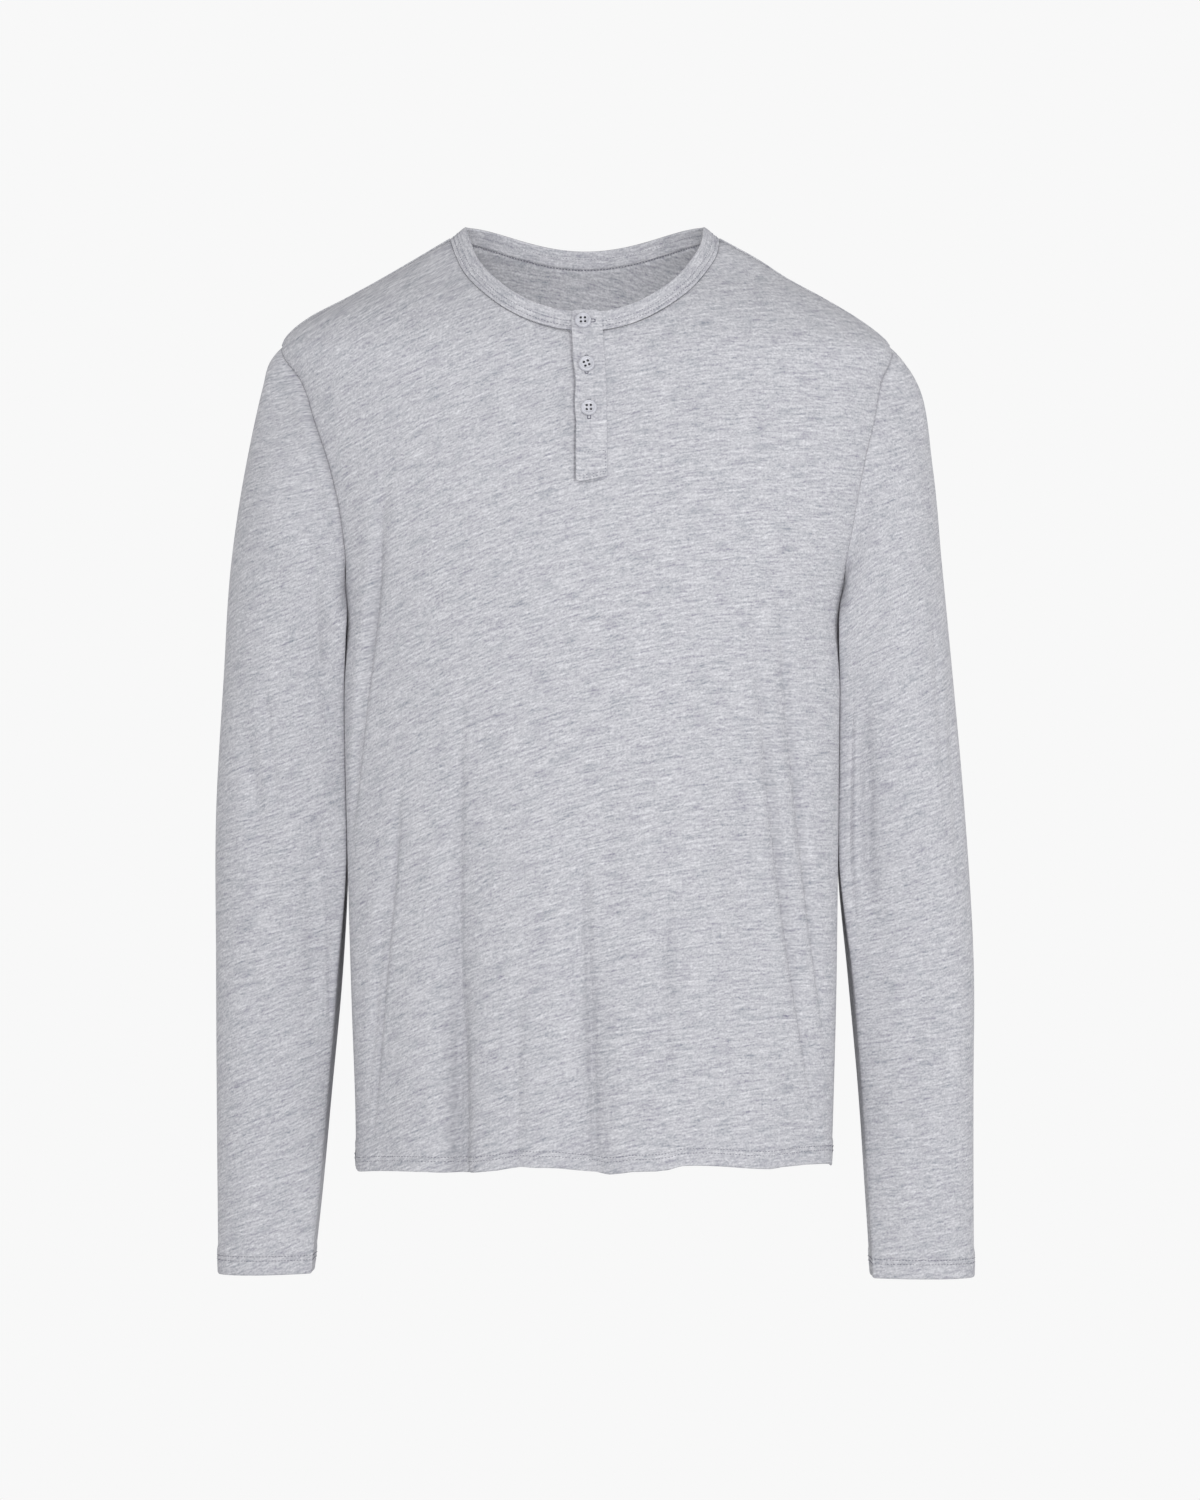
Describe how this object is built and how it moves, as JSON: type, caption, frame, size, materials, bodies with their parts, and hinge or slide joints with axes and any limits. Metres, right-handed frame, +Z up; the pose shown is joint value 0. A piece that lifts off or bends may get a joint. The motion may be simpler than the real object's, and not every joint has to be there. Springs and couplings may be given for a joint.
{
  "type": "henley shirt",
  "caption": "Long-sleeved henley shirt in pale grey slub jersey with a buttoned placket and a narrow neck band, filled out as worn.",
  "frame": {"origin": "middle of the line between the two points where the neck seam crosses the shoulder seams, where the shirt hangs on the wearer", "axes": "+Z up, -Y out of the front, +X towards the wearer's left arm"},
  "size_m": [0.5751, 0.2416, 0.7914],
  "materials": {
    "jersey": "matt pale grey slub jersey with short darker streaks along its courses",
    "button": "pale grey plastic with a low gloss"
  },
  "bodies": {
    "root": {"body_front": "jersey", "body_back": "jersey", "sleeve_left": "jersey", "sleeve_right": "jersey", "neck_band": "jersey", "placket_over": "jersey", "placket_under": "jersey", "button_1": "button", "button_2": "button", "button_3": "button"}
  },
  "joints": []
}
